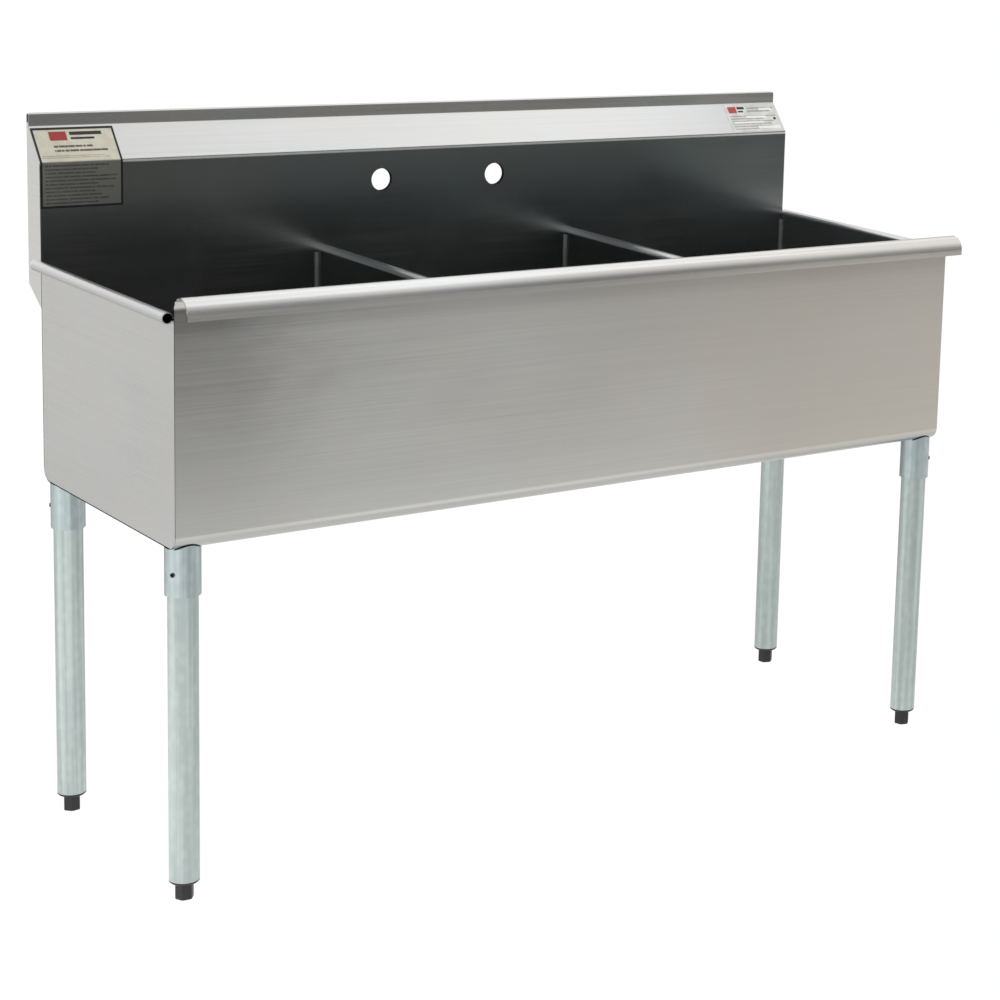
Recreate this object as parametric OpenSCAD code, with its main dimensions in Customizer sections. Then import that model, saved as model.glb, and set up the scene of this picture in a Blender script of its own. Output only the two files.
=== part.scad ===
// Three compartment sink, stainless steel, on four galvanised tube legs.
// All sizes in millimetres. +X runs along the sink, +Y points to the wall, +Z is up.
// The origin lies on the floor, under the middle of the overall box.

/* [Tub] */
// length of the tub over its end plates
tub_length = 1338; // [1200:1:1500]
// depth of the tub from the front wall to the back wall, outside
tub_depth = 452; // [420:1:540]
// height of the tub underside above the floor
tub_base_height = 505; // [440:1:620]
// height of the front roll above the tub underside
roll_height = 350; // [335:1:400]
// height of the side rolls above the tub underside
side_height = 327; // [300:1:330]
// sheet thickness
sheet = 1.5; // [1.2:0.1:2]
// outside radius of the two long bends at the bottom of the tub
bottom_bend = 20; // [12:1:30]

/* [Rims] */
// overall width of the front roll, front to back
front_roll_width = 41.5; // [36:0.5:46]
// height of the front roll from its lip to its top
front_roll_drop = 29; // [26:0.5:34]
// outside diameter of the side rolls
side_roll_d = 16; // [13:0.5:20]
// distance of the open front ends of the side rolls from the front face of the tub
side_roll_start = 6.5; // [2:0.5:20]

/* [Backsplash] */
// height of the fold above the tub underside
fold_height = 468; // [450:1:490]
// depth of the sloping part
slope_run = 40; // [36:1:44]
// rise of the sloping part
slope_rise = 48; // [40:1:56]
// height of the upright tile edge
tile_edge = 19; // [14:1:26]
// distance between the two faucet holes
faucet_spacing = 203.2; // [150:0.1:250]
// diameter of the faucet holes
faucet_hole_d = 35; // [28:0.5:38]
// height of the faucet holes above the tub underside
faucet_height = 419; // [390:1:428]
// sideways offset of the faucet hole pair from the middle
faucet_offset = -25; // [-60:1:60]
// depth of the drawn collars of the faucet holes, sheet included
faucet_collar = 6; // [3:0.5:8]

/* [Dividers] */
// thickness of the double wall dividers
divider_thick = 20; // [16:1:26]
// height of the dividers above the tub underside
divider_height = 322; // [290:1:325]

/* [Legs] */
// outside diameter of the leg tubes
leg_d = 41.3; // [38:0.1:45]
// wall thickness of the leg tubes
leg_wall = 1.6; // [1.2:0.1:2.5]
// distance of the leg axes from the tub ends
leg_inset_x = 22.5; // [21:0.5:40]
// distance of the front leg axes from the front wall
leg_inset_front = 28; // [26:1:50]
// distance of the rear leg axes from the back wall
leg_inset_back = 31; // [26:1:50]
// length of the leg sockets below the tub
socket_length = 67; // [50:1:80]
// outside diameter of the leg sockets
socket_d = 48.4; // [47:0.1:52]

/* [Feet] */
// height of the tube ends above the floor
tube_clearance = 28; // [24:1:40]
// hexagon of the feet across the flats
foot_hex = 22.4; // [20:0.2:26]
// radius of the set screws
screw_r = 3.2; // [2.5:0.1:4]
// core radius of the foot studs, at the root of their thread
foot_stud_r = 7.2; // [6:0.1:7.6]

/* [Drains] */
// diameter of the openings in the bowl floors
drain_hole_d = 90; // [86:0.5:94]
// diameter of the drain flanges
drain_flange_d = 114; // [108:1:120]
// outside diameter of the drain outlet threads
outlet_d = 48.2; // [42:0.1:50]
// depth of the drain outlets below the tub
outlet_depth = 54; // [50:1:60]

/* [Hidden] */
$fn = 64;
// clearance between neighbouring pieces
gap = 0.05;
half_length = tub_length / 2;
roll_r = front_roll_width / 2;
side_roll_r = side_roll_d / 2;
divider_r = divider_thick / 2;
leg_r = leg_d / 2;
bowl_width = (tub_length - 2 * sheet - 2 * divider_thick) / 3;
bowl_pitch = bowl_width + divider_thick;

// heights above the floor
z_base = tub_base_height;
z_bend = z_base + bottom_bend;
z_side_axis = z_base + side_height - side_roll_r;
z_roll = z_base + roll_height;
z_divider_axis = z_base + divider_height - divider_r;
z_fold = z_base + fold_height;
z_edge = z_fold + slope_rise;
z_top = z_edge + tile_edge;
z_screw = z_base - 35;

// depths are measured from the front face of the tub, which lies at y = y_front
splash_depth = 46.5;
rear_depth = tub_depth + splash_depth;
inner_back = tub_depth - sheet;
edge_back = tub_depth + slope_run;
y_front = -(rear_depth + sheet - front_roll_width) / 2;
y_mid = y_front + tub_depth / 2;
leg_x = half_length - leg_inset_x;
leg_y_front = y_front + leg_inset_front;
leg_y_rear = y_front + tub_depth - leg_inset_back;

// backsplash bends; centres are [depth, height]
bend_steps = 6;
splash_bend = 3; // inside radius at the fold and at the top of the slope
edge_bend = 2.5; // outside radius at the top of the tile edge
rear_flange = 14; // height of the folded rear flange
lean = atan2(slope_run, slope_rise);
slope_normal = [-cos(lean), sin(lean)];
fold_centre = [tub_depth + splash_bend, z_fold - (splash_bend + sheet) * tan(lean / 2)];
slope_centre = [edge_back - sheet - splash_bend, z_edge + splash_bend * tan(lean / 2)];
edge_centre = [edge_back - sheet + edge_bend, z_top - edge_bend];
rear_centre = [rear_depth - edge_bend, z_top - edge_bend];
// lower and upper end of the flat front face of the slope
slope_start = fold_centre + (splash_bend + sheet) * slope_normal;
slope_end = slope_centre - splash_bend * slope_normal;

// ---- helpers: side is -1 left, 1 right; row is -1 front, 1 rear; bowl is -1, 0, 1 ----

// turns a drawing in depth and height into a bar along X
module along_x(from, to) {
  translate([from, y_front, 0]) rotate([90, 0, 90]) linear_extrude(height = to - from) children();
}

// turns a drawing in X and height into a bar along Y, between two depths
module along_y(from, to) {
  translate([0, to + y_front, 0]) rotate([90, 0, 0]) linear_extrude(height = to - from) children();
}

module ring2(outer, inner) {
  difference() {
    circle(r = outer);
    circle(r = inner);
  }
}

// points of an arc
function arc(centre, radius, from, to) = [for (i = [0 : bend_steps])
  let (angle = from + (to - from) * i / bend_steps) centre + radius * [cos(angle), sin(angle)]];

function leg_at(side, row, z) = [side * leg_x, row < 0 ? leg_y_front : leg_y_rear, z];
function drain_at(bowl, z) = [bowl * bowl_pitch, y_mid, z];

// section of the space between front wall and back wall, shrunk by inset
module inner_outline(inset, top) {
  union() {
    translate([sheet + inset, z_bend]) square([tub_depth - 2 * sheet - 2 * inset, top - z_bend]);
    translate([bottom_bend, z_base + sheet + inset])
      square([tub_depth - 2 * bottom_bend, bottom_bend - sheet]);
    for (depth = [bottom_bend, tub_depth - bottom_bend])
      translate([depth, z_bend]) circle(r = bottom_bend - sheet - inset);
  }
}

// section of the lower tub envelope, grown by outset
module outer_outline(outset) {
  wall_height = 100;
  union() {
    translate([-outset, z_bend]) square([tub_depth + 2 * outset, wall_height]);
    translate([bottom_bend, z_base - outset])
      square([tub_depth - 2 * bottom_bend, bottom_bend + 2 * outset]);
    for (depth = [bottom_bend, tub_depth - bottom_bend])
      translate([depth, z_bend]) circle(r = bottom_bend + outset);
  }
}

// ---- tub ----

// section of the long bent sheet: roll, front wall, floor, back wall, splash, tile edge
module wrap_section() {
  // lip of the front roll
  translate([sheet - front_roll_width, z_roll - front_roll_drop])
    square([sheet, front_roll_drop - roll_r]);
  // front roll
  translate([sheet - roll_r, z_roll - roll_r]) intersection() {
    ring2(roll_r, roll_r - sheet);
    translate([-roll_r - 1, 0]) square([2 * roll_r + 2, roll_r + 1]);
  }
  // front wall
  translate([0, z_bend]) square([sheet, z_roll - roll_r - z_bend]);
  // front bend
  translate([bottom_bend, z_bend]) intersection() {
    ring2(bottom_bend, bottom_bend - sheet);
    translate([-bottom_bend - 1, -bottom_bend - 1]) square(bottom_bend + 1);
  }
  // floor
  translate([bottom_bend, z_base]) square([tub_depth - 2 * bottom_bend, sheet]);
  // back bend
  translate([tub_depth - bottom_bend, z_bend]) intersection() {
    ring2(bottom_bend, bottom_bend - sheet);
    translate([0, -bottom_bend - 1]) square(bottom_bend + 1);
  }
  // back wall, fold, slope, upright tile edge and its folded rear flange:
  // up the rear and inner faces, then back down the front and outer faces
  polygon(concat(
    [[inner_back, z_bend], [tub_depth, z_bend]],
    arc(fold_centre, splash_bend, 180, 180 - lean),
    arc(slope_centre, splash_bend + sheet, -lean, 0),
    arc(edge_centre, edge_bend - sheet, 180, 90),
    arc(rear_centre, edge_bend - sheet, 90, 0),
    [[rear_depth - sheet, z_top - rear_flange], [rear_depth, z_top - rear_flange]],
    arc(rear_centre, edge_bend, 0, 90),
    arc(edge_centre, edge_bend, 90, 180),
    arc(slope_centre, splash_bend, 0, -lean),
    arc(fold_centre, splash_bend + sheet, 180 - lean, 180)));
}

// point on a faucet hole axis
function faucet_at(side, depth) =
  [faucet_offset + side * faucet_spacing / 2, y_front + depth, z_base + faucet_height];

module tub_wrap() {
  corner_r = 4;
  corner_cut = 6;
  color([0.7, 0.71, 0.72]) difference() {
    union() {
      along_x(-half_length, half_length) wrap_section();
      // drawn collars of the faucet holes
      for (side = [-1, 1])
        translate(faucet_at(side, inner_back + faucet_collar)) rotate([90, 0, 0])
          cylinder(d = faucet_hole_d + 2 * sheet, h = faucet_collar - 1);
    }
    for (side = [-1, 1])
      translate(faucet_at(side, tub_depth + 10)) rotate([90, 0, 0])
        cylinder(d = faucet_hole_d, h = 17);
    // rounded ends of the tile edge
    for (side = [-1, 1])
      translate([side * (half_length - corner_r), y_front + tub_depth + 60, z_top - corner_r])
        rotate([90, 0, 0]) linear_extrude(height = 30) difference() {
          translate([side > 0 ? 0 : -corner_cut, 0]) square(corner_cut);
          circle(r = corner_r);
        }
    for (bowl = [-1 : 1])
      translate(drain_at(bowl, z_base - 4)) cylinder(d = drain_hole_d, h = 10);
  }
}

// section of the left side roll: the ring stays open below its axis on the plate side,
// and is cut away over cut_height where it comes closer than clearance to the plate
module side_roll_section(clearance, cut_height) {
  opening = 33;
  reach = 2 * side_roll_r;
  translate([-half_length + sheet - side_roll_r, z_side_axis]) difference() {
    ring2(side_roll_r, side_roll_r - sheet);
    polygon([[0, 0], [reach * cos(opening), -reach * sin(opening)], [reach, 0]]);
    translate([side_roll_r - sheet - clearance, -reach]) square([reach, cut_height]);
  }
}

// end plate on the left; its top edge is rolled outwards into an open tube
module end_panel() {
  roll_overrun = 4; // length of the roll behind the back wall
  color([0.75, 0.76, 0.76]) union() {
    along_x(-half_length, -half_length + sheet) inner_outline(gap, z_side_axis);
    // rolled edge between the walls, open at its front end
    along_y(side_roll_start, inner_back - gap) side_roll_section(0.12, side_roll_d);
    // rolled edge beside the back wall
    along_y(inner_back - gap, tub_depth + roll_overrun) side_roll_section(gap, 2 * side_roll_d);
  }
}

module end_panel_left() { end_panel(); }
module end_panel_right() { mirror([1, 0, 0]) end_panel(); }

// plate that closes the left end of the hollow backsplash
module end_cap() {
  front_foot = 254; // heights of the lower edge above the tub underside
  rear_foot = 285;
  drop = 0.65; // lowering of the corners at the two bends
  bevel = 1.5; // size of the bevel at the fold
  front = tub_depth + gap;
  color([0.78, 0.79, 0.79]) along_x(-half_length, -half_length + sheet)
    polygon([[front, z_base + front_foot], [rear_depth, z_base + rear_foot],
      [rear_depth, z_top - rear_flange - gap], [edge_back + gap, z_top - rear_flange - gap],
      [edge_back + gap, z_edge - drop],
      [front + bevel * sin(lean), z_fold - drop + bevel * cos(lean)],
      [front, z_fold - drop - bevel]]);
}

module end_cap_left() { end_cap(); }
module end_cap_right() { mirror([1, 0, 0]) end_cap(); }

// double wall divider with a full round top
module divider(x) {
  color([0.62, 0.63, 0.63]) translate([x, 0, 0]) intersection() {
    along_y(0, tub_depth) union() {
      translate([0, z_divider_axis]) intersection() {
        ring2(divider_r, divider_r - sheet);
        translate([-divider_thick, 0]) square([2 * divider_thick, divider_thick]);
      }
      for (side = [-1, 1])
        translate([side * (divider_r - sheet / 2) - sheet / 2, z_base])
          square([sheet, z_divider_axis - z_base]);
    }
    along_x(-divider_thick, divider_thick) inner_outline(gap, z_divider_axis + divider_r + 5);
  }
}

module divider_left() { divider(-bowl_pitch / 2); }
module divider_right() { divider(bowl_pitch / 2); }

// ground weld fillets in the four upright corners of each bowl
module corner_welds() {
  fillet = 5;
  top_drop = 2; // below the straight part of the divider walls
  color([0.72, 0.72, 0.72])
    for (bowl = [-1 : 1]) for (side = [-1, 1]) for (row = [-1, 1])
      translate([bowl * bowl_pitch + side * (bowl_width / 2 - gap),
          y_mid + row * (tub_depth / 2 - sheet - gap), z_bend])
        linear_extrude(height = z_divider_axis - top_drop - z_bend) difference() {
          translate([side > 0 ? -fillet : 0, row > 0 ? -fillet : 0]) square(fillet);
          translate([-side * fillet, -row * fillet]) circle(r = fillet);
        }
}

// ---- legs ----

// turn that points a set screw outwards, 57 degrees from straight front or rear
function screw_turn(side, row) = row < 0 ? side * 57 : 180 - side * 57;

// welded leg socket, its top cut to the shape of the tub corner
module leg_socket(side, row) {
  top_rise = 9; // reach of the uncut socket above the tub underside
  roof = 6; // end of the bore below the tub underside
  slot_clearance = 1.7;
  over = 20; // overrun of the cuts past the tub ends
  overlap = 0.1; // reach of the end cuts inside the tub ends
  color([0.7, 0.74, 0.76]) difference() {
    translate(leg_at(side, row, z_base - socket_length))
      cylinder(d = socket_d, h = socket_length + top_rise);
    translate(leg_at(side, row, z_base - socket_length - 1))
      cylinder(r = leg_r + gap, h = socket_length + 1 - roof);
    along_x(-half_length - over, half_length + over) outer_outline(gap);
    // open slot under the front bend
    if (row < 0) along_x(-half_length - over, half_length + over) intersection() {
      translate([bottom_bend, z_bend]) circle(r = bottom_bend + slot_clearance);
      translate([-10, z_base - 10]) square([23, 30]);
    }
    // flush with the tub ends above the tub underside
    for (end = [-1, 1])
      translate([end > 0 ? half_length - overlap : -half_length - over + overlap,
          y_front - 50, z_base - gap])
        cube([over, tub_depth + 100, 60]);
    // set screw hole
    translate(leg_at(side, row, z_screw)) rotate([0, 0, screw_turn(side, row)])
      rotate([90, 0, 0]) cylinder(r = screw_r + gap, h = 40);
  }
}

module leg_socket_fl() { leg_socket(-1, -1); }
module leg_socket_fr() { leg_socket(1, -1); }
module leg_socket_bl() { leg_socket(-1, 1); }
module leg_socket_br() { leg_socket(1, 1); }

// four hexagon socket set screws that hold the legs in their sockets
module set_screws() {
  screw_length = 5;
  hex_start = 2;
  hex_ratio = 1.16; // hexagon over its corners, to screw radius
  color([0.25, 0.25, 0.26])
    for (side = [-1, 1]) for (row = [-1, 1])
      translate(leg_at(side, row, z_screw))
        rotate([0, 0, screw_turn(side, row)]) rotate([90, 0, 0])
          translate([0, 0, leg_r + gap]) difference() {
            cylinder(r = screw_r, h = screw_length);
            translate([0, 0, hex_start]) cylinder(d = hex_ratio * screw_r, h = 4, $fn = 6);
          }
}

// tube leg
module leg(side, row) {
  top_drop = 7; // tube end below the tub underside
  translate(leg_at(side, row, tube_clearance))
    color([0.76, 0.79, 0.78]) difference() {
      cylinder(r = leg_r, h = z_base - top_drop - tube_clearance);
      translate([0, 0, -1]) cylinder(r = leg_r - leg_wall, h = z_base);
    }
}

module leg_fl() { leg(-1, -1); }
module leg_fr() { leg(1, -1); }
module leg_bl() { leg(-1, 1); }
module leg_br() { leg(1, 1); }

// ---- feet ----

// plastic plug pressed into the lower end of a leg, with a bore for the stud
module foot_insert(side, row) {
  bore_r = 8.05;
  tube_r = leg_r - leg_wall;
  // radius, height above the tube end
  profile = [[bore_r, -4.2], [leg_r - 2.6, -4.2], [leg_r - 0.1, -1.9], [leg_r - 0.1, -gap],
    [tube_r - gap, -gap], [tube_r - gap, 38], [tube_r - 1.5, 40], [bore_r, 40]];
  translate(leg_at(side, row, tube_clearance))
    color([0.13, 0.13, 0.14]) rotate_extrude() polygon(profile);
}

module foot_insert_fl() { foot_insert(-1, -1); }
module foot_insert_fr() { foot_insert(1, -1); }
module foot_insert_bl() { foot_insert(-1, 1); }
module foot_insert_br() { foot_insert(1, 1); }

// levelling foot: chamfered hexagon with a stud that screws into the plug;
// turn is the direction of one of its corners
module foot(side, row, turn) {
  height = tube_clearance - 4.3;
  corner_r = foot_hex / 2 / cos(30);
  stud_start = 2;
  stud_extra = 43; // stud length beyond the tube clearance
  // radius, height above the floor
  chamfers = [[0, 0], [corner_r - 0.9, 0], [corner_r + 0.2, 0.7],
    [corner_r + 0.2, height - 1.1], [corner_r - 1.5, height], [0, height]];
  translate(leg_at(side, row, 0))
    color([0.11, 0.11, 0.12]) union() {
      intersection() {
        rotate([0, 0, turn]) cylinder(r = corner_r, h = height, $fn = 6);
        rotate_extrude() polygon(chamfers);
      }
      translate([0, 0, stud_start]) cylinder(r = foot_stud_r, h = tube_clearance + stud_extra);
    }
}

module foot_fl() { foot(-1, -1, -6.5); }
module foot_fr() { foot(1, -1, 44.8); }
module foot_bl() { foot(-1, 1, 8); }
module foot_br() { foot(1, 1, 42); }

// ---- drains ----

neck_r = 43.5; // drain body where it passes the bowl floor
shelf_depth = 16; // strainer shelf below the tub underside
cup_depth = 38; // inside floor of the cup below the tub underside
gasket_thick = 3;
locknut_thick = 10;

// drain body: flange in the bowl floor, cup below it, threaded outlet at the bottom
module drain_body(bowl) {
  flange_r = drain_flange_d / 2;
  flange_z = sheet + gap;
  outlet_bore_r = 19.5;
  // radius, height above the tub underside
  profile = [[outlet_bore_r, -outlet_depth], [outlet_d / 2, -outlet_depth],
    [outlet_d / 2, -39.5], [34, -39.5], [34, -17.5], [neck_r, -17.5], [neck_r, flange_z],
    [flange_r, flange_z], [flange_r, flange_z + 0.5], [flange_r - 6, flange_z + 2],
    [neck_r, flange_z + 2], [42, -1], [42, -shelf_depth], [32, -shelf_depth],
    [32, -cup_depth], [outlet_bore_r, -cup_depth]];
  translate(drain_at(bowl, 0)) color([0.8, 0.81, 0.82]) rotate_extrude()
    polygon([for (point = profile) [point[0], z_base + point[1]]]);
}

module drain_body_left() { drain_body(-1); }
module drain_body_centre() { drain_body(0); }
module drain_body_right() { drain_body(1); }

// rubber washer under the bowl floor
module drain_gasket(bowl) {
  translate(drain_at(bowl, z_base - gasket_thick - gap)) color([0.1, 0.1, 0.1]) difference() {
    cylinder(r = 55, h = gasket_thick);
    translate([0, 0, -1]) cylinder(r = neck_r + gap, h = 6);
  }
}

module drain_gasket_left() { drain_gasket(-1); }
module drain_gasket_centre() { drain_gasket(0); }
module drain_gasket_right() { drain_gasket(1); }

// large locknut with six lugs that clamps the drain against the bowl floor
module drain_locknut(bowl) {
  lug = [11, 12, 8];
  lug_start = 48; // distance of the lugs from the axis
  translate(drain_at(bowl, z_base - gasket_thick - locknut_thick - 2 * gap))
    color([0.72, 0.7, 0.62]) difference() {
      union() {
        cylinder(r = 52, h = locknut_thick);
        for (angle = [0 : 60 : 300])
          rotate([0, 0, angle]) translate([lug_start, -lug[1] / 2, 0]) cube(lug);
      }
      translate([0, 0, -1]) cylinder(r = neck_r + gap, h = 14);
    }
}

module drain_locknut_left() { drain_locknut(-1); }
module drain_locknut_centre() { drain_locknut(0); }
module drain_locknut_right() { drain_locknut(1); }

// lift out strainer basket with a knob on a post
module strainer(bowl) {
  // radius, height above the shelf
  profile = [[0, -16], [29, -16], [30, -15], [30, 0], [41.3, 0], [41.3, 3], [40.3, 3],
    [40.3, 1], [29, 1], [29, -14.8], [3.5, -14.8], [3.5, 6], [8.5, 9], [8.5, 11.5],
    [6.5, 13.5], [0, 13.5]];
  // radius of the hole circle, angle step, first angle
  hole_circles = [[23.5, 36, 0], [14.5, 60, 15]];
  translate(drain_at(bowl, z_base - shelf_depth + gap)) color([0.82, 0.83, 0.84]) difference() {
    rotate_extrude() polygon(profile);
    for (ring = hole_circles) for (angle = [0 : ring[1] : 359])
      rotate([0, 0, angle + ring[2]]) translate([ring[0], 0, -20]) cylinder(r = 2.6, h = 8);
  }
}

module strainer_left() { strainer(-1); }
module strainer_centre() { strainer(0); }
module strainer_right() { strainer(1); }

// rubber stopper under the strainer basket, closes the outlet
module stopper(bowl) {
  // radius, height above the cup floor
  profile = [[0, 0], [21.5, 0], [23, 1.5], [20, 5.9], [0, 5.9]];
  translate(drain_at(bowl, z_base - cup_depth + gap)) color([0.09, 0.09, 0.09])
    rotate_extrude() polygon(profile);
}

module stopper_left() { stopper(-1); }
module stopper_centre() { stopper(0); }
module stopper_right() { stopper(1); }

// ---- labels ----

// distances of the two label faces from the sheet under them
label_back = 0.03;
label_face = 0.28;
// upper end of both labels, as a share of the slope
label_top = 0.96;

// point above the slope, at a share of its length and a distance from the sheet
function on_slope(share, distance) =
  slope_start + share * (slope_end - slope_start) + distance * slope_normal;

// thin label bent over the fold of the backsplash, at the left end
module care_label() {
  end_inset = 0.5;
  width = 122;
  z_low = z_base + 401;
  bend_r = splash_bend + sheet;
  color([0.8, 0.78, 0.7]) along_x(-half_length + end_inset, -half_length + end_inset + width)
    polygon(concat([[inner_back - label_face, z_low], [inner_back - label_back, z_low]],
      arc(fold_centre, bend_r + label_back, 180, 180 - lean),
      [on_slope(label_top, label_back), on_slope(label_top, label_face)],
      arc(fold_centre, bend_r + label_face, 180 - lean, 180)));
}

// thin label on the sloping part at the right end
module data_label() {
  end_inset = 1;
  width = 111;
  low = 0.02; // lower end, as a share of the slope
  color([0.85, 0.85, 0.84]) along_x(half_length - end_inset - width, half_length - end_inset)
    polygon([on_slope(low, label_back), on_slope(label_top, label_back),
      on_slope(label_top, label_face), on_slope(low, label_face)]);
}

tub_wrap();
end_panel_left();
end_panel_right();
end_cap_left();
end_cap_right();
divider_left();
divider_right();
corner_welds();
leg_socket_fl();
leg_socket_fr();
leg_socket_bl();
leg_socket_br();
set_screws();
leg_fl();
leg_fr();
leg_bl();
leg_br();
foot_insert_fl();
foot_insert_fr();
foot_insert_bl();
foot_insert_br();
foot_fl();
foot_fr();
foot_bl();
foot_br();
drain_body_left();
drain_body_centre();
drain_body_right();
drain_gasket_left();
drain_gasket_centre();
drain_gasket_right();
drain_locknut_left();
drain_locknut_centre();
drain_locknut_right();
strainer_left();
strainer_centre();
strainer_right();
stopper_left();
stopper_centre();
stopper_right();
care_label();
data_label();
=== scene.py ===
import math

import bmesh
import bpy
from mathutils import Matrix, Vector


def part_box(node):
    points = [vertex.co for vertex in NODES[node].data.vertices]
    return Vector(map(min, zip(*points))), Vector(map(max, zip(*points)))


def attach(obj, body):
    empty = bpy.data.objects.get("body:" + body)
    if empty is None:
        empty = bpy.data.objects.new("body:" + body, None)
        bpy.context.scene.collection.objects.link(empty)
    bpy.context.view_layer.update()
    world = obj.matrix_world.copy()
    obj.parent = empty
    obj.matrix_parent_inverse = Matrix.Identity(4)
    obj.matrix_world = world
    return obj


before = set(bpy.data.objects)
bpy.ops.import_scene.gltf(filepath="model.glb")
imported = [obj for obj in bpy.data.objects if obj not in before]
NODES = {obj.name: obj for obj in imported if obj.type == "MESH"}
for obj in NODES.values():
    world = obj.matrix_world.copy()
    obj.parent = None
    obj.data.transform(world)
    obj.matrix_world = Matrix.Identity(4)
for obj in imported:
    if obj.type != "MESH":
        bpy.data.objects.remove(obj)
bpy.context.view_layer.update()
SC = bpy.context.scene
COL = SC.collection


# ---------------------------------------------------------------- node helpers
class Mat:
    """A node material with short calls for the nodes used below."""

    def __init__(self, name):
        self.m = bpy.data.materials.new(name)
        self.m.use_nodes = True
        self.nt = self.m.node_tree
        self.nt.nodes.clear()
        self.out = self.nt.nodes.new("ShaderNodeOutputMaterial")
        self.b = self.nt.nodes.new("ShaderNodeBsdfPrincipled")
        self.nt.links.new(self.b.outputs[0], self.out.inputs[0])
        self._co = None
        self._xyz = None

    def put(self, node, key, value):
        if hasattr(value, "is_output"):
            self.nt.links.new(value, node.inputs[key])
        elif value is not None:
            node.inputs[key].default_value = value

    def co(self):
        if self._co is None:
            self._co = self.nt.nodes.new("ShaderNodeTexCoord").outputs["Object"]
        return self._co

    def xyz(self):
        if self._xyz is None:
            n = self.nt.nodes.new("ShaderNodeSeparateXYZ")
            self.put(n, 0, self.co())
            self._xyz = n.outputs
        return self._xyz

    def mapped(self, scale, loc=(0, 0, 0), rot=(0, 0, 0), vec=None):
        n = self.nt.nodes.new("ShaderNodeMapping")
        self.put(n, "Vector", vec or self.co())
        n.inputs["Scale"].default_value = scale
        n.inputs["Location"].default_value = loc
        n.inputs["Rotation"].default_value = rot
        return n.outputs[0]

    def noise(self, vec, scale=1.0, detail=2.0, rough=0.5, dist=0.0):
        n = self.nt.nodes.new("ShaderNodeTexNoise")
        self.put(n, "Vector", vec)
        n.inputs["Scale"].default_value = scale
        n.inputs["Detail"].default_value = detail
        n.inputs["Roughness"].default_value = rough
        n.inputs["Distortion"].default_value = dist
        return n.outputs[0]

    def voronoi(self, vec, scale=1.0, feature="F1", out="Color"):
        n = self.nt.nodes.new("ShaderNodeTexVoronoi")
        n.feature = feature
        self.put(n, "Vector", vec)
        n.inputs["Scale"].default_value = scale
        return n.outputs[out]

    def math(self, op, a, b=None, c=None, clamp=False):
        n = self.nt.nodes.new("ShaderNodeMath")
        n.operation = op
        n.use_clamp = clamp
        self.put(n, 0, a)
        self.put(n, 1, b)
        self.put(n, 2, c)
        return n.outputs[0]

    def vmath(self, op, a, b=None):
        n = self.nt.nodes.new("ShaderNodeVectorMath")
        n.operation = op
        self.put(n, 0, a)
        self.put(n, 1, b)
        return n.outputs[0]

    def ramp(self, fac, lo, hi, a=0.0, b=1.0, smooth=True):
        n = self.nt.nodes.new("ShaderNodeMapRange")
        n.interpolation_type = "SMOOTHSTEP" if smooth else "LINEAR"
        self.put(n, "Value", fac)
        self.put(n, "From Min", lo)
        self.put(n, "From Max", hi)
        self.put(n, "To Min", a)
        self.put(n, "To Max", b)
        return n.outputs[0]

    def mix(self, fac, a, b, kind="MIX"):
        n = self.nt.nodes.new("ShaderNodeMix")
        n.data_type = "RGBA"
        n.blend_type = kind
        n.clamp_factor = True
        self.put(n, 0, fac)
        self.put(n, 6, a if hasattr(a, "is_output") else (*a, 1.0))
        self.put(n, 7, b if hasattr(b, "is_output") else (*b, 1.0))
        return n.outputs[2]

    def bump(self, height, strength, dist, normal=None):
        n = self.nt.nodes.new("ShaderNodeBump")
        n.inputs["Strength"].default_value = strength
        n.inputs["Distance"].default_value = dist
        self.put(n, "Height", height)
        if normal is not None:
            self.put(n, "Normal", normal)
        return n.outputs[0]

    def set(self, **kw):
        names = {"color": "Base Color", "metal": "Metallic", "rough": "Roughness", "normal": "Normal",
                 "aniso": "Anisotropic", "tangent": "Tangent", "coat": "Coat Weight", "coat_rough": "Coat Roughness",
                 "spec": "Specular IOR Level", "ior": "IOR", "sheen": "Sheen Weight"}
        for k, v in kw.items():
            if isinstance(v, tuple) and len(v) == 3:
                v = (*v, 1.0)
            self.put(self.b, names[k], v)
        return self.m


# ---------------------------------------------------------------- materials
# strength of the painted shade inside the bowls, low and high up the walls
BOWL_SHADE_RANGE = (0.42, 0.68)
FOLD = 0.973


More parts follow.
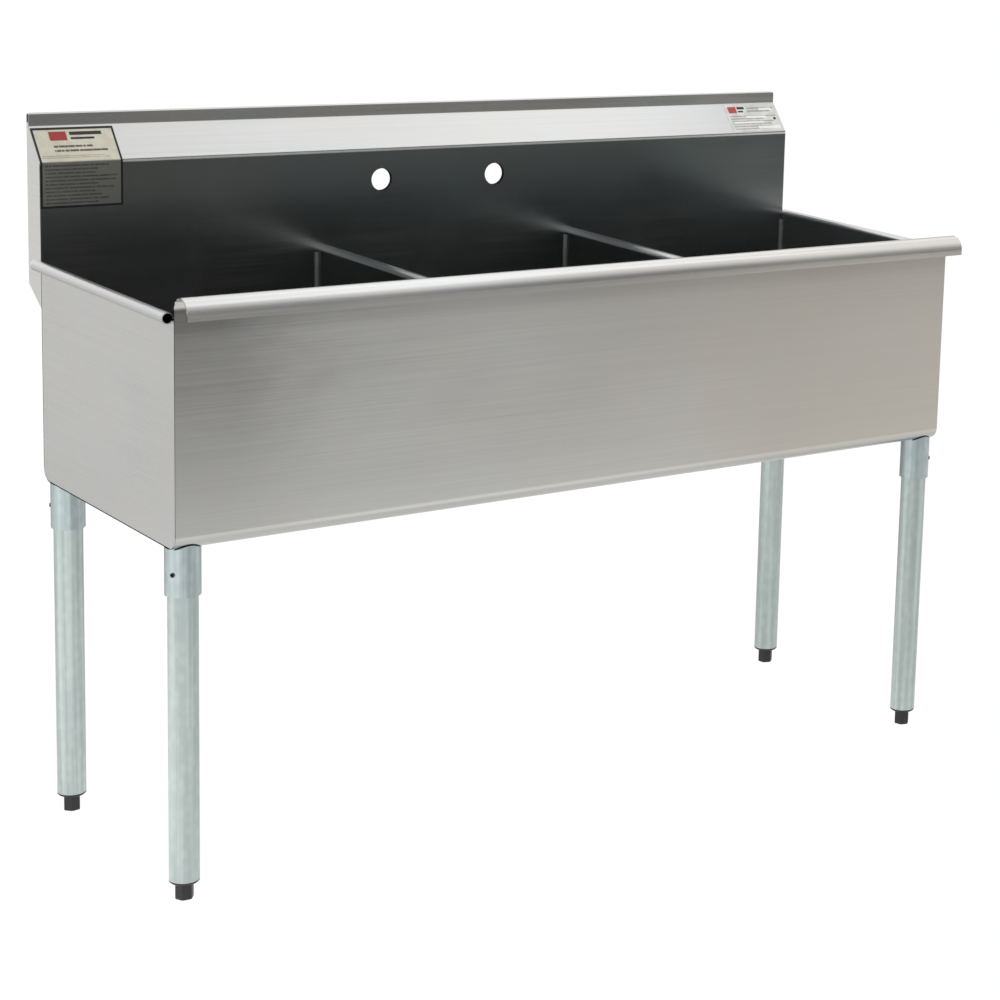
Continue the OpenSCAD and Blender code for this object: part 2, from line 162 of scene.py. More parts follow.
def steel(name, grain, tint=(0.60, 0.60, 0.59), rough=0.20, aniso=0.7, bump=0.06, seed=0.0, mottle=1.0, part=""):
    """Brushed stainless sheet: the grain runs along axis 0, 1 or 2. part names what is special about the piece."""
    k = Mat(name)
    fine = [900.0] * 3
    fine[grain] = 4.0
    wide = [230.0] * 3
    wide[grain] = 1.3
    slow = [5.0] * 3
    slow[grain] = 2.2
    g1 = k.noise(k.mapped(fine, (seed, seed * 1.7, 3.1 + seed)), 1.0, 3.0, 0.65)
    g2 = k.noise(k.mapped(wide, (7.0 + seed, 1.3, seed)), 1.0, 3.0, 0.6)
    m1 = k.noise(k.mapped(slow, (2.2 + seed, 5.1, 9.7)), 1.0, 3.0, 0.55, 0.3)
    m2 = k.noise(k.mapped([9.0, 9.0, 9.0], (seed + 11.0, 3.3, 0.4)), 1.0, 2.0, 0.5)
    lift = k.math("ADD", k.ramp(g1, 0.3, 0.7, -0.035, 0.035, False), k.ramp(g2, 0.3, 0.7, -0.018, 0.018, False))
    lift = k.math("ADD", lift, k.ramp(m1, 0.3, 0.7, -0.045 * mottle, 0.045 * mottle))
    px, py, pz = k.xyz()
    if part == "tub":
        # painted light and shade on the front wall: darker at the left end and brighter to the right with a noisy edge,
        # brighter low down, painted shade under the roll's lip and along the lower bend; a painted highlight on the lip
        light_edge_wobble = k.math("SUBTRACT", k.noise(k.mapped((5.0, 5.0, 9.0), (1.3, 0.0, 4.4)), 1.0, 4.0, 0.6), 0.5)
        wall = k.math("MULTIPLY", k.math("LESS_THAN", py, -0.2284), k.math("GREATER_THAN", py, -0.2296))
        # painted light: the front wall is painted darker at the left end and brighter further right, with a noisy edge
        wall_painted_light = k.ramp(k.math("ADD", px, k.math("MULTIPLY", light_edge_wobble, 0.25)), -0.60, -0.40, -0.08, 0.34)
        wall_painted_light = k.math("ADD", wall_painted_light, k.math("ADD", k.ramp(px, -0.30, 0.12, 0.0, -0.20), k.ramp(px, 0.30, 0.66, 0.0, 0.09)))
        wall_painted_light = k.math("MULTIPLY", wall_painted_light, k.ramp(pz, 0.55, 0.78))
        # painted light: brighter low on the left half of the front wall
        low = k.math("MULTIPLY", k.ramp(px, -0.62, -0.42, 0.03, 0.12), k.ramp(px, 0.10, 0.40, 1.0, 0.0))
        wall_painted_light = k.math("ADD", wall_painted_light, k.math("MULTIPLY", low, k.ramp(pz, 0.60, 0.76, 1.0, 0.0)))
        # painted shade just under the roll's lip
        wall_painted_light = k.math("ADD", wall_painted_light, k.ramp(pz, 0.785, 0.815, 0.0, -0.22))
        lift = k.math("ADD", lift, k.math("MULTIPLY", wall_painted_light, wall))
        # painted shade along the lower bend of the front wall
        bend_painted_shade = k.math("MULTIPLY", k.ramp(pz, 0.5065, 0.5085), k.ramp(pz, 0.515, 0.524, 1.0, 0.0))
        bend_painted_shade = k.math("MULTIPLY", bend_painted_shade, k.math("LESS_THAN", py, -0.205))
        lift = k.math("ADD", lift, k.math("MULTIPLY", bend_painted_shade, -0.17))
        # painted highlight on the lip of the front roll, stronger at both ends
        lip_painted_highlight = k.math("ADD", k.ramp(px, -0.45, 0.0, 0.28, 0.11), k.ramp(px, 0.10, 0.50, 0.0, 0.40))
        lift = k.math("ADD", lift, k.math("MULTIPLY", lip_painted_highlight, k.ramp(py, -0.2668, -0.2590, 1.0, 0.0)))
    if part == "end":
        # painted light: the end caps behind the splash are painted brighter
        lift = k.math("ADD", lift, k.math("MULTIPLY", k.math("GREATER_THAN", py, 0.2228), 0.17))
    warm = tuple(c * s for c, s in zip(tint, (1.008, 1.0, 0.99)))
    cool = tuple(c * s for c, s in zip(tint, (0.992, 1.0, 1.006)))
    base = k.mix(k.ramp(m2, 0.35, 0.65), warm, cool)
    sep = k.nt.nodes.new("ShaderNodeHueSaturation")
    k.put(sep, "Color", base)
    k.put(sep, "Value", k.math("ADD", lift, 1.0))
    r = k.math("ADD", k.ramp(g1, 0.25, 0.75, rough - 0.04, rough + 0.04, False),
               k.ramp(m1, 0.3, 0.7, -0.03 * mottle, 0.035 * mottle))
    col = sep.outputs[0]
    if part == "tub":
        straw = k.math("MULTIPLY", k.ramp(px, -0.3, 0.5, 0.0, 0.4), k.math("LESS_THAN", py, -0.2284))
        col = k.mix(straw, col, (0.61, 0.555, 0.475))
    # painted shade: the insides of the bowls are painted dark blue-green, standing in for the dim light and dark
    # reflections in them
    xa, yy, zz = k.math("ABSOLUTE", k.xyz()[0]), k.xyz()[1], k.xyz()[2]
    dy = k.math("MAXIMUM", k.math("SUBTRACT", k.math("ABSOLUTE", k.math("ADD", yy, 0.00325)), 0.206), 0.0)
    dz = k.math("MAXIMUM", k.math("SUBTRACT", 0.525, zz), 0.0)
    skin = k.math("SQRT", k.math("ADD", k.math("MULTIPLY", dy, dy), k.math("MULTIPLY", dz, dz)))
    bowl_painted_shade = k.math("MULTIPLY", k.math("LESS_THAN", skin, 0.01925), k.math("LESS_THAN", xa, 0.6682))
    bowl_painted_shade = k.math("MULTIPLY", bowl_painted_shade, k.ramp(zz, 0.80, 0.90, BOWL_SHADE_RANGE[0], BOWL_SHADE_RANGE[1]))
    bowl_painted_shade = k.math("MULTIPLY", bowl_painted_shade, k.ramp(zz, 0.60, 0.74, 0.15, 1.0))
    if part == "divider":
        bowl_painted_shade = k.math("MULTIPLY", bowl_painted_shade, k.ramp(zz, 0.8165, 0.8215, 1.0, 0.0))
    col = k.mix(bowl_painted_shade, col, k.mix(k.ramp(px, -0.5, -0.1), (0.022, 0.042, 0.038), (0.0, 0.045, 0.054)))
    if part == "end":
        # painted shade inside the rolled edge: dark colour, rougher, its reflection tinted nearly black
        qx = k.math("SUBTRACT", xa, 0.6755)
        qz = k.math("SUBTRACT", zz, 0.824)
        roll_painted_shade = k.math("SQRT", k.math("ADD", k.math("MULTIPLY", qx, qx), k.math("MULTIPLY", qz, qz)))
        roll_painted_shade = k.math("MULTIPLY", k.math("LESS_THAN", roll_painted_shade, 0.00665), k.math("LESS_THAN", yy, 0.1))
        col = k.mix(roll_painted_shade, col, (0.03, 0.03, 0.03))
        r = k.math("ADD", r, k.math("MULTIPLY", roll_painted_shade, 0.3))
        k.put(k.b, "Specular Tint", k.mix(roll_painted_shade, (1.0, 1.0, 1.0), (0.05, 0.05, 0.05)))
    if part == "tub":
        # painted highlight along the fold between splash and slope
        edge = k.math("MULTIPLY", k.ramp(zz, FOLD - 0.0042, FOLD - 0.0030, 0.0, 1.0), k.ramp(zz, FOLD - 0.0012, FOLD - 0.0002, 1.0, 0.0))
        edge = k.math("MULTIPLY", edge, k.math("GREATER_THAN", yy, 0.215))
        col = k.mix(edge, col, (0.93, 0.93, 0.93))
        r = k.math("ADD", r, k.math("MULTIPLY", edge, 0.35))
        # painted shade inside the drawn collars of the faucet holes, with their reflection tinted nearly black
        x, z = k.xyz()[0], k.xyz()[2]
        dx = k.math("SUBTRACT", k.math("ABSOLUTE", k.math("ADD", x, 0.025)), 0.1016)
        dz = k.math("SUBTRACT", z, 0.924)
        d = k.math("SQRT", k.math("ADD", k.math("MULTIPLY", dx, dx), k.math("MULTIPLY", dz, dz)))
        collar_painted_shade = k.ramp(d, 0.01775, 0.0182, 1.0, 0.0)
        col = k.mix(collar_painted_shade, col, (0.015, 0.015, 0.015))
        r = k.math("ADD", r, k.math("MULTIPLY", collar_painted_shade, 0.25))
        k.put(k.b, "Specular Tint", k.mix(collar_painted_shade, (1.0, 1.0, 1.0), (0.02, 0.02, 0.02)))
    axis = [0.0, 0.0, 0.0]
    axis[grain] = 1.0
    geo = k.nt.nodes.new("ShaderNodeNewGeometry")
    across = k.vmath("CROSS_PRODUCT", geo.outputs["Normal"], tuple(axis))
    nrm = k.bump(k.math("ADD", g1, k.math("MULTIPLY", g2, 0.8)), bump, 0.0004)
    return k.set(color=col, metal=1.0, rough=r, aniso=aniso, tangent=across, normal=nrm)


def ground_weld(name):
    """Weld ground flush and left satin, with coarse upright grinding marks."""
    k = Mat(name)
    g = k.noise(k.mapped((700, 700, 9)), 1.0, 3.0, 0.7)
    s = k.noise(k.mapped((40, 40, 40)), 1.0, 3.0, 0.6)
    c = k.mix(k.ramp(s, 0.3, 0.7), (0.62, 0.62, 0.61), (0.5, 0.5, 0.49))
    return k.set(color=c, metal=1.0, rough=k.ramp(g, 0.25, 0.75, 0.26, 0.42, False), normal=k.bump(g, 0.25, 0.0004))


def zinc(name, tint, streak, rough, metal, seed=0.0):
    """Zinc plated or galvanised tube: soft streaks along Z, faint spangle, light tarnish."""
    k = Mat(name)
    v = k.noise(k.mapped((110, 110, 1.6), (seed, 4.0, 1.0)), 1.0, 3.0, 0.55)
    v2 = k.noise(k.mapped((420, 420, 5.0), (seed + 3.0, 1.0, 6.0)), 1.0, 3.0, 0.6)
    sp = k.voronoi(k.mapped((95, 95, 60), (seed, 2.0, 0.0)), 1.0, "F1", "Distance")
    cl = k.noise(k.mapped((16, 16, 9), (seed + 1.0, 7.0, 2.0)), 1.0, 4.0, 0.6)
    dark = tuple(c * (1.0 - streak) for c in tint)
    c = k.mix(k.ramp(v, 0.32, 0.68), dark, tint)
    c = k.mix(k.ramp(v2, 0.45, 0.8, 0.0, 0.22), c, tuple(min(1.0, c0 * 1.12) for c0 in tint))
    c = k.mix(k.ramp(cl, 0.45, 0.75, 0.0, 0.3), c, (tint[0] * 0.80, tint[1] * 0.86, tint[2] * 0.87))
    c = k.mix(k.ramp(sp, 0.1, 0.7, 0.12, 0.0), c, (0.93, 0.95, 0.95))
    r = k.math("ADD", k.ramp(cl, 0.3, 0.7, rough - 0.05, rough + 0.08), k.ramp(v2, 0.3, 0.7, -0.03, 0.03))
    h = k.math("ADD", k.math("MULTIPLY", v2, 0.5), k.math("MULTIPLY", sp, 0.3))
    return k.set(color=c, metal=metal, rough=r, normal=k.bump(h, 0.12, 0.0008))


def plastic(name, tint, rough):
    """Moulded black plastic with a fine spark-eroded texture and scuffs."""
    k = Mat(name)
    g = k.noise(k.mapped((1500, 1500, 1500)), 1.0, 2.0, 0.5)
    s = k.noise(k.mapped((90, 90, 60), (4, 2, 1)), 1.0, 4.0, 0.65)
    c = k.mix(k.ramp(s, 0.55, 0.8, 0.0, 0.5), tint, tuple(min(1, c0 * 2.2 + 0.01) for c0 in tint))
    return k.set(color=c, metal=0.0, rough=k.ramp(s, 0.3, 0.75, rough, rough + 0.18), spec=0.5,
                 normal=k.bump(k.math("ADD", g, k.math("MULTIPLY", s, 0.6)), 0.22, 0.0005))


def rubber(name, tint=(0.018, 0.018, 0.019)):
    k = Mat(name)
    g = k.noise(k.mapped((700, 700, 700)), 1.0, 3.0, 0.6)
    s = k.noise(k.mapped((60, 60, 60)), 1.0, 3.0, 0.6)
    c = k.mix(k.ramp(s, 0.5, 0.8, 0.0, 0.4), tint, (0.07, 0.068, 0.065))
    return k.set(color=c, metal=0.0, rough=k.ramp(s, 0.3, 0.7, 0.62, 0.8), spec=0.35, normal=k.bump(g, 0.2, 0.0006))


def turned(name, tint, rough, ring=900.0):
    """Turned or polished round metal: faint rings about each drain's own axis come from the height and radius."""
    k = Mat(name)
    x, y, z = k.xyz()[0], k.xyz()[1], k.xyz()[2]
    pitch = 0.451667
    xm = k.math("SUBTRACT", x, k.math("MULTIPLY", k.math("ROUND", k.math("DIVIDE", x, pitch)), pitch))
    ym = k.math("ADD", y, 0.00325)
    rad = k.math("SQRT", k.math("ADD", k.math("MULTIPLY", xm, xm), k.math("MULTIPLY", ym, ym)))
    comb = k.nt.nodes.new("ShaderNodeCombineXYZ")
    k.put(comb, 0, k.math("MULTIPLY", rad, ring))
    k.put(comb, 1, k.math("MULTIPLY", z, ring))
    k.put(comb, 2, 0.0)
    g = k.noise(comb.outputs[0], 1.0, 2.0, 0.6)
    s = k.noise(k.mapped((30, 30, 30)), 1.0, 3.0, 0.6)
    spots = k.voronoi(k.mapped((55, 55, 55), (1.0, 0.3, 0.8)), 1.0, "F1", "Distance")
    c = k.mix(k.ramp(s, 0.35, 0.7), tint, tuple(c0 * 0.86 for c0 in tint))
    c = k.mix(k.ramp(spots, 0.06, 0.12, 0.25, 0.0), c, tuple(c0 * 0.7 for c0 in tint))
    r = k.math("ADD", k.ramp(g, 0.3, 0.7, rough - 0.03, rough + 0.05), k.ramp(s, 0.3, 0.7, -0.02, 0.05))
    return k.set(color=c, metal=1.0, rough=r, normal=k.bump(g, 0.08, 0.0005))


def screw_black(name):
    k = Mat(name)
    s = k.noise(k.mapped((500, 500, 500)), 1.0, 3.0, 0.6)
    c = k.mix(k.ramp(s, 0.4, 0.75), (0.035, 0.035, 0.038), (0.09, 0.088, 0.085))
    return k.set(color=c, metal=0.8, rough=k.ramp(s, 0.3, 0.7, 0.32, 0.5), normal=k.bump(s, 0.15, 0.0003))


def label(name, care):
    """Printed foil label: plain rules and blocks, no lettering. care is the tall one on the left."""
    k = Mat(name)
    x, y, z = k.xyz()[0], k.xyz()[1], k.xyz()[2]
    (x0, _, z0), (x1, _, z1) = LABEL_BOX[care]
    u = k.ramp(x, x0, x1, 0.0, 1.0, False)
    v = k.ramp(z, z0, z1, 0.0, 1.0, False)

    def band(value, lo, hi, soft=0.002):
        a = k.ramp(value, lo - soft, lo + soft, 0.0, 1.0)
        b = k.ramp(value, hi - soft, hi + soft, 1.0, 0.0)
        return k.math("MULTIPLY", a, b)

    def block(u0, u1, v0, v1):
        return k.math("MULTIPLY", band(u, u0, u1, 0.004), band(v, v0, v1, 0.004))

    def rules(u0, u1, v0, v1, count, duty, seed):
        """count printed rules between v0 and v1, broken into word-like dashes of uneven length."""
        row = k.math("MULTIPLY", k.math("DIVIDE", k.math("SUBTRACT", v, v0), v1 - v0), float(count))
        part = k.math("FRACT", row)
        line = band(part, 0.5 - duty / 2, 0.5 + duty / 2, 0.08)
        comb = k.nt.nodes.new("ShaderNodeCombineXYZ")
        k.put(comb, 0, k.math("MULTIPLY", x, 420.0))
        k.put(comb, 1, k.math("ADD", k.math("FLOOR", row), seed))
        k.put(comb, 2, seed)
        gaps = k.ramp(k.noise(comb.outputs[0], 1.0, 1.0, 0.5), 0.36, 0.44, 0.0, 1.0)
        ends = k.nt.nodes.new("ShaderNodeCombineXYZ")
        k.put(ends, 0, 0.37)
        k.put(ends, 1, k.math("MULTIPLY", k.math("FLOOR", row), 3.7))
        k.put(ends, 2, seed + 5.0)
        stop = k.ramp(k.noise(ends.outputs[0], 1.0, 0.0, 0.5), 0.3, 0.7, u1 - 0.28, u1, False)
        inside = k.math("MULTIPLY", band(v, v0, v1, 0.001), k.ramp(u, u0 - 0.004, u0 + 0.004, 0.0, 1.0))
        inside = k.math("MULTIPLY", inside, k.math("LESS_THAN", u, stop))
        return k.math("MULTIPLY", k.math("MULTIPLY", line, gaps), inside)

    grime = k.noise(k.mapped((60, 60, 60)), 1.0, 3.0, 0.6)
    if care:
        # the upper part lies on the slope, the lower part on the upright sheet, where the same film is painted darker
        # and greyer as painted shade
        wall = k.ramp(z, FOLD - 0.0012, FOLD + 0.0008, 1.0, 0.0)
        film = k.mix(k.ramp(grime, 0.3, 0.7), (0.60, 0.57, 0.465), (0.54, 0.515, 0.42))
        film = k.mix(wall, film, (0.36, 0.365, 0.33))
        ink = rules(0.06, 0.93, 0.04, 0.57, 11, 0.44, 1.0)
        head = rules(0.22, 0.86, 0.70, 0.80, 2, 0.46, 4.0)
        fine = rules(0.04, 0.97, 0.635, 0.675, 2, 0.30, 7.0)
        ink = k.math("MAXIMUM", ink, k.math("MAXIMUM", head, k.math("MULTIPLY", fine, 0.7)))
        c = k.mix(k.math("MULTIPLY", ink, 0.90), film, (0.045, 0.05, 0.045))
        mark = block(0.20, 0.41, 0.845, 0.950)
        c = k.mix(mark, c, (0.42, 0.045, 0.04))
        bars = k.math("MAXIMUM", block(0.45, 0.84, 0.905, 0.945), block(0.45, 0.74, 0.855, 0.88))
        c = k.mix(bars, c, (0.02, 0.02, 0.02))
        edge = k.math("MAXIMUM", k.math("SUBTRACT", 1.0, band(u, 0.026, 0.974, 0.003)),
                      k.math("SUBTRACT", 1.0, band(v, 0.028, 0.972, 0.003)))
        c = k.mix(edge, c, (0.012, 0.013, 0.012))
        paint = k.math("MAXIMUM", k.math("MAXIMUM", ink, edge), k.math("MAXIMUM", mark, bars))
        metal = k.math("SUBTRACT", 1.0, k.math("MULTIPLY", paint, 0.75))
        metal = k.math("MULTIPLY", metal, k.ramp(wall, 0.0, 1.0, 0.88, 1.0))
    else:
        film = k.mix(k.ramp(grime, 0.3, 0.7), (0.80, 0.79, 0.75), (0.70, 0.69, 0.655))
        ink = rules(0.05, 0.93, 0.06, 0.62, 6, 0.42, 2.0)
        ink = k.math("MAXIMUM", ink, rules(0.42, 0.95, 0.70, 0.92, 2, 0.5, 6.0))
        c = k.mix(k.math("MULTIPLY", ink, 0.58), film, (0.16, 0.155, 0.15))
        c = k.mix(block(0.06, 0.22, 0.70, 0.93), c, (0.50, 0.10, 0.09))
        c = k.mix(k.math("MAXIMUM", block(0.24, 0.38, 0.83, 0.92), block(0.24, 0.34, 0.72, 0.78)), c, (0.05, 0.05, 0.05))
        for patch in ((0.36, 0.74, 0.50, 0.575), (0.10, 0.66, 0.31, 0.375), (0.52, 0.95, 0.10, 0.20), (0.66, 0.90, 0.78, 0.86)):
            c = k.mix(block(*patch), c, (0.95, 0.95, 0.94))
        du = k.math("MULTIPLY", k.math("SUBTRACT", u, 0.90), 111.0)
        dv = k.math("MULTIPLY", k.math("SUBTRACT", v, 0.46), 60.0)
        spot = k.math("SQRT", k.math("ADD", k.math("MULTIPLY", du, du), k.math("MULTIPLY", dv, dv)))
        c = k.mix(k.ramp(spot, 2.6, 3.2, 1.0, 0.0), c, (0.02, 0.02, 0.02))
        metal = 0.70
    return k.set(color=c, metal=metal, rough=k.ramp(grime, 0.3, 0.7, 0.32, 0.44), normal=k.bump(grime, 0.05, 0.0004))


LABEL_BOX = {True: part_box("care_label"), False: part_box("data_label")}

M = {
    "stainless_tub": steel("brushed_steel_tub", 0, bump=0.04, mottle=0.6, part="tub"),
    "stainless_ends": steel("brushed_steel_ends", 1, (0.66, 0.66, 0.655), 0.30, 0.55, 0.04, 4.0, 0.45, "end"),
    "stainless_dividers": steel("brushed_steel_dividers", 1, (0.60, 0.60, 0.595), 0.20, 0.6, 0.05, 9.0, 1.0, "divider"),
    "ground_weld": ground_weld("ground_weld"),
    "zinc_socket": zinc("zinc_plated_socket", (0.52, 0.61, 0.63), 0.28, 0.34, 0.8, 2.0),
    "galvanised_leg": zinc("galvanised_tube", (0.59, 0.675, 0.665), 0.26, 0.42, 0.68, 5.0),
    "black_screw": screw_black("black_oxide_screw"),
    "black_plug": plastic("black_nylon_plug", (0.020, 0.020, 0.021), 0.42),
    "black_foot": plastic("black_moulded_foot", (0.016, 0.017, 0.018), 0.38),
    "drain_metal": turned("turned_stainless", (0.66, 0.66, 0.65), 0.20),
    "rubber_gasket": rubber("black_gasket_rubber"),
    "locknut_metal": turned("cast_zinc_locknut", (0.62, 0.60, 0.55), 0.42, 300.0),
    "strainer_metal": turned("pressed_strainer_steel", (0.70, 0.70, 0.69), 0.16),
    "rubber_stopper": rubber("stopper_rubber", (0.015, 0.015, 0.015)),
    "label_cream": label("care_label_print", True),
    "label_grey": label("data_label_print", False),
}

for o in NODES.values():
    for s in o.material_slots:
        s.material = M[s.material.name.split(".")[0]]


# ---------------------------------------------------------------- edges of the CAD parts
def soften(node, width, angle=35.0, segments=2):
    """Joins the split vertices and rounds the sharp edges by width metres."""
    o = NODES[node]
    w = o.modifiers.new("join", "WELD")
    w.merge_threshold = 0.000004
    b = o.modifiers.new("round_edges", "BEVEL")
    b.width = width
    b.segments = segments
    b.limit_method = "ANGLE"
    b.angle_limit = math.radians(angle)
    b.use_clamp_overlap = True
    b.harden_normals = False
    n = o.modifiers.new("even_normals", "WEIGHTED_NORMAL")
    n.weight = 50
    n.keep_sharp = False


SOFT = {"tub_wrap": 0.0005, "end_panel": 0.0004, "end_cap": 0.0004, "divider": 0.0003, "leg_socket": 0.0005,
        "leg_": 0.0004, "foot_insert": 0.0004, "foot_": 0.0006, "drain_body": 0.0003, "drain_locknut": 0.0008,
        "drain_gasket": 0.0005, "strainer": 0.00025, "stopper": 0.0005, "set_screws": 0.0003}
for name in NODES:
    for key, width in SOFT.items():
        if name.startswith(key):
            soften(name, width)
            break


# ---------------------------------------------------------------- threads of the levelling feet
def thread(node, body, core=0.00712, crest=0.00795, pitch=0.002, z0=0.0247, z1=0.0712, around=40):
    """Screw thread on a foot's stud: one ridge of trapezoid section that runs up the stud and fades at both ends."""
    lo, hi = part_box(node)
    cx, cy = (lo[0] + hi[0]) / 2, STUD_Y[node[-2:]]
    turns = (z1 - z0) / pitch
    steps = int(turns * around)
    bm = bmesh.new()
    rings = []
    for i in range(steps + 1):
        a = 2 * math.pi * i / around
        z = z0 + pitch * i / around
        fade = min(1.0, i / (0.4 * around), (steps - i) / (0.4 * around))
        fade = max(fade, 0.04)
        top = core + (crest - core) * fade
        section = ((core, -0.00082), (top, -0.00082 + 0.0006 * fade), (top, 0.00082 - 0.0006 * fade), (core, 0.00082))
        rings.append([bm.verts.new((cx + r * math.cos(a), cy + r * math.sin(a), z + dz)) for r, dz in section])
    for a, b in zip(rings, rings[1:]):
        for j in range(4):
            bm.faces.new((a[j], a[(j + 1) % 4], b[(j + 1) % 4], b[j]))
    bm.faces.new(rings[0][::-1])
    bm.faces.new(rings[-1])
    bmesh.ops.recalc_face_normals(bm, faces=bm.faces[:])
    me = bpy.data.meshes.new("thread_" + node[-2:])
    bm.to_mesh(me)
    bm.free()
    o = bpy.data.objects.new("thread_" + node[-2:], me)
    COL.objects.link(o)
    me.materials.append(M["black_foot"])
    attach(o, body)
    return o


STUD_Y = {"fl": -0.20125, "fr": -0.20125, "bl": 0.19175, "br": 0.19175}
for corner in ("fl", "fr", "bl", "br"):
    thread("foot_" + corner, "levelling_foot_" + corner)


# ---------------------------------------------------------------- stage, light and camera
SKY = {"left": 0.58, "right": 0.30, "rear": 0.34, "rise": (0.15, 0.80), "top": (0.14, 0.72, 0.32),
       "tint": (0.985, 0.99, 1.0)}
FLOOR = {"seen": 1.06, "shadow": 0.08, "base": 0.30, "right": 0.40, "rx": (1.3, 2.6), "left": 0.42, "lx": (-1.6, 0.0),
         "far": 0.36, "near": 0.60, "ny": (-3.4, -1.2), "tint": ((1.0, 0.995, 0.97), (1.0, 0.975, 0.93))}


def plain_world():
    """Plain white to the camera. To the metal it is a soft studio: a broad light overhead, pale on the left,
    darker towards the front right."""
    w = bpy.data.worlds.new("studio")
    SC.world = w
    w.use_nodes = True
    nt = w.node_tree
    nt.nodes.clear()
    out = nt.nodes.new("ShaderNodeOutputWorld")
    tc = nt.nodes.new("ShaderNodeTexCoord")
    sep = nt.nodes.new("ShaderNodeSeparateXYZ")
    nt.links.new(tc.outputs["Generated"], sep.inputs[0])
    x, y, z = sep.outputs[0], sep.outputs[1], sep.outputs[2]

    def rng(src, lo, hi, a, b):
        n = nt.nodes.new("ShaderNodeMapRange")
        n.interpolation_type = "SMOOTHSTEP"
        nt.links.new(src, n.inputs["Value"])
        for key, val in zip(("From Min", "From Max", "To Min", "To Max"), (lo, hi, a, b)):
            n.inputs[key].default_value = val
        return n.outputs[0]

    def op(kind, a, b):
        n = nt.nodes.new("ShaderNodeMath")
        n.operation = kind
        for i, v in enumerate((a, b)):
            if hasattr(v, "is_output"):
                nt.links.new(v, n.inputs[i])
            else:
                n.inputs[i].default_value = v
        return n.outputs[0]

    side = rng(x, -0.25, 0.25, SKY["left"], SKY["right"])
    rear = op("MULTIPLY", rng(y, 0.1, 0.6, 0.0, 1.0), SKY["rear"])
    low = op("ADD", side, rear)
    top = op("MULTIPLY", rng(z, SKY["rise"][0], SKY["rise"][1], 0.0, 1.0),
             op("ADD", rng(x, 0.2, 0.62, SKY["top"][0], SKY["top"][1]), rng(y, -0.3, 0.5, 0.0, SKY["top"][2])))
    total = op("ADD", low, top)
    soft = nt.nodes.new("ShaderNodeBackground")
    soft.inputs["Color"].default_value = (*SKY["tint"], 1.0)
    nt.links.new(total, soft.inputs["Strength"])
    plain = nt.nodes.new("ShaderNodeBackground")
    plain.inputs["Color"].default_value = (1, 1, 1, 1)
    plain.inputs["Strength"].default_value = 1.0
    lp = nt.nodes.new("ShaderNodeLightPath")
    mix = nt.nodes.new("ShaderNodeMixShader")
    nt.links.new(lp.outputs["Is Camera Ray"], mix.inputs[0])
    nt.links.new(soft.outputs[0], mix.inputs[1])
    nt.links.new(plain.outputs[0], mix.inputs[2])
    nt.links.new(mix.outputs[0], out.inputs[0])


def plain_floor(z):
    """Pale floor. Seen directly it is nearly white; in the metal it falls off towards the front right."""
    bm = bmesh.new()
    n = 40
    size = 60.0
    vs = [[bm.verts.new((size * (i / n - 0.5), size * (j / n - 0.5), z)) for i in range(n + 1)] for j in range(n + 1)]
    for j in range(n):
        for i in range(n):
            bm.faces.new((vs[j][i], vs[j][i + 1], vs[j + 1][i + 1], vs[j + 1][i]))
    me = bpy.data.meshes.new("floor")
    bm.to_mesh(me)
    bm.free()
    o = bpy.data.objects.new("floor", me)
    COL.objects.link(o)
    k = Mat("pale_floor")
    k.nt.nodes.remove(k.b)
    nt = k.nt
    lp = nt.nodes.new("ShaderNodeLightPath")
    diff = nt.nodes.new("ShaderNodeBsdfDiffuse")
    diff.inputs[0].default_value = (0.80, 0.80, 0.80, 1)
    glow = nt.nodes.new("ShaderNodeEmission")
    glow.inputs[0].default_value = (1, 1, 1, 1)
    glow.inputs[1].default_value = FLOOR["seen"]
    thin = nt.nodes.new("ShaderNodeMixShader")
    thin.inputs[0].default_value = FLOOR["shadow"]
    nt.links.new(glow.outputs[0], thin.inputs[1])
    nt.links.new(diff.outputs[0], thin.inputs[2])
    x, y = k.xyz()[0], k.xyz()[1]
    right = k.ramp(x, FLOOR["rx"][0], FLOOR["rx"][1], 0.0, FLOOR["right"])
    beside = k.ramp(x, 1.3, 2.3, 1.0, 0.45)
    left = k.ramp(x, FLOOR["lx"][0], FLOOR["lx"][1], FLOOR["left"], 0.0)
    far = k.ramp(y, -6.2, -3.2, FLOOR["far"], 1.0)
    far = k.math("MULTIPLY", far, k.ramp(x, 3.6, 5.4, 1.0, 0.5))
    near = k.math("MULTIPLY", k.ramp(y, FLOOR["ny"][0], FLOOR["ny"][1], 0.0, FLOOR["near"]), k.ramp(y, 0.0, 1.6, 1.0, 0.0))
    near = k.math("MULTIPLY", near, beside)
    sheen = k.math("ADD", k.math("ADD", k.math("MULTIPLY", k.math("ADD", right, FLOOR["base"]), far), left), near)
    mirror = nt.nodes.new("ShaderNodeEmission")
    nt.links.new(sheen, mirror.inputs[1])
    k.put(mirror, 0, k.mix(k.ramp(x, 0.0, 3.0), FLOOR["tint"][0], FLOOR["tint"][1]))
    both = nt.nodes.new("ShaderNodeMixShader")
    nt.links.new(lp.outputs["Is Camera Ray"], both.inputs[0])
    nt.links.new(mirror.outputs[0], both.inputs[1])
    nt.links.new(thin.outputs[0], both.inputs[2])
    nt.links.new(both.outputs[0], k.out.inputs[0])
    me.materials.append(k.m)
    return o


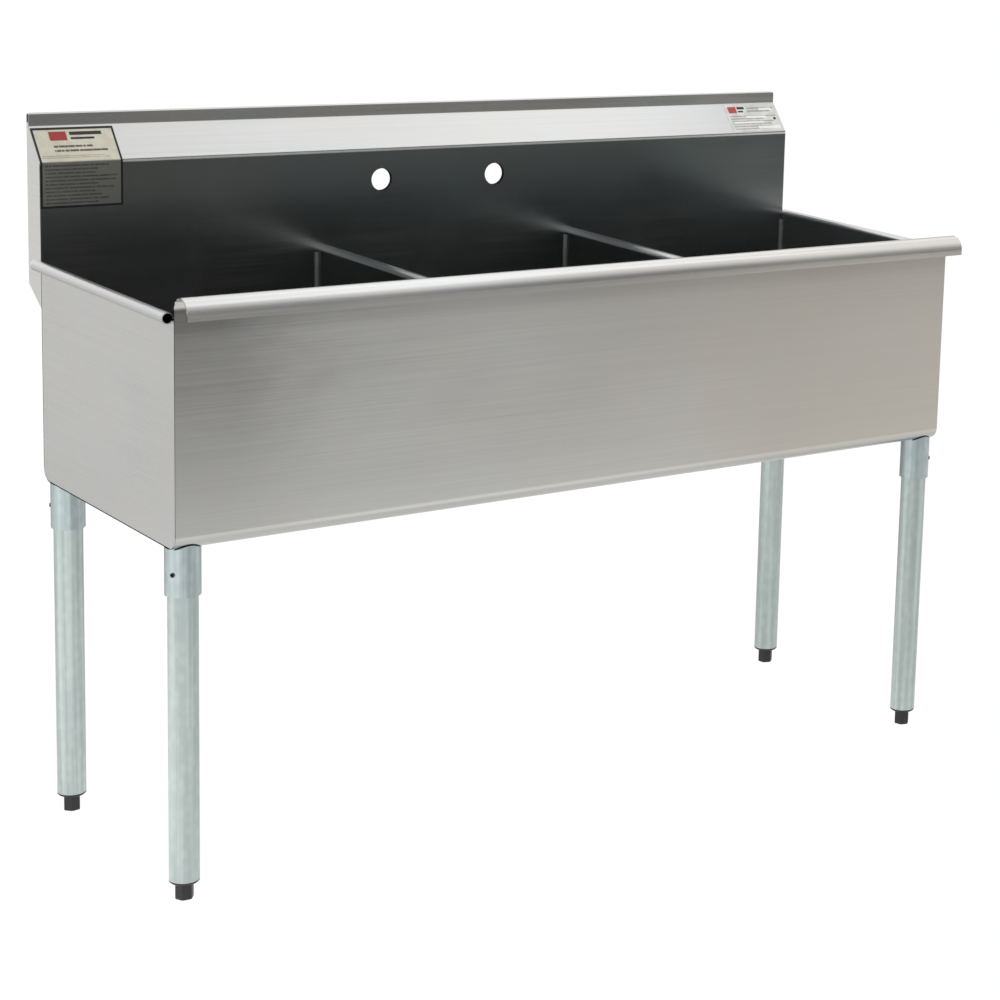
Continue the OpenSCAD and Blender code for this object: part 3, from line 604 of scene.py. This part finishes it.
def soft_box(name, place, look, size, power, tint=(1, 1, 1)):
    d = bpy.data.lights.new(name, "AREA")
    d.shape = "RECTANGLE"
    d.size, d.size_y = size
    d.energy = power
    d.color = tint
    o = bpy.data.objects.new(name, d)
    COL.objects.link(o)
    o.location = place
    o.rotation_mode = "QUATERNION"
    o.rotation_quaternion = (Vector(look) - Vector(place)).to_track_quat("-Z", "Y")
    o.visible_camera = False
    return o


def make_camera():
    yaw, pitch, roll = math.radians(-41.88), math.radians(-10.48), math.radians(3.05)
    fwd = Vector((-math.sin(yaw) * math.cos(pitch), math.cos(yaw) * math.cos(pitch), math.sin(pitch)))
    right = Vector((math.cos(yaw), math.sin(yaw), 0.0))
    up = right.cross(fwd)
    r2 = right * math.cos(roll) + up * math.sin(roll)
    u2 = up * math.cos(roll) - right * math.sin(roll)
    cam = bpy.data.cameras.new("camera")
    cam.sensor_width = 36.0
    cam.sensor_fit = "HORIZONTAL"
    cam.lens = 36.0 * 2.5153
    cam.clip_end = 200.0
    o = bpy.data.objects.new("camera", cam)
    COL.objects.link(o)
    m = Matrix((r2, u2, -fwd)).transposed().to_4x4()
    home = Vector((-2.0491, -3.34135, 1.4847))
    o.rotation_mode = "QUATERNION"
    o.rotation_quaternion = m.to_3x3().to_quaternion()
    o.location = home
    SC.camera = o
    # the lens shift belongs to this one standpoint: it fades out when the camera stands elsewhere
    mark = bpy.data.objects.new("camera_home", None)
    COL.objects.link(mark)
    mark.location = home
    for prop, value in (("shift_x", -0.4748), ("shift_y", -0.1847)):
        fc = cam.driver_add(prop)
        fc.driver.type = "SUM"
        v = fc.driver.variables.new()
        v.type = "LOC_DIFF"
        v.targets[0].id = o
        v.targets[1].id = mark
        for mod in list(fc.modifiers):
            fc.modifiers.remove(mod)
        for at, val in ((0.0, value), (0.1, value), (0.2, 0.0), (1.0, 0.0)):
            kp = fc.keyframe_points.insert(at, val)
            kp.interpolation = "LINEAR"
        fc.extrapolation = "CONSTANT"
    return o


plain_world()
plain_floor(-0.021)
soft_box("key_top", (0.4, -0.6, 3.4), (0.0, 0.0, 0.7), (3.2, 2.2), 10.0)
make_camera()

SC.view_settings.view_transform = "Standard"
SC.view_settings.look = "None"
SC.view_settings.exposure = 0.0
SC.view_settings.gamma = 1.0
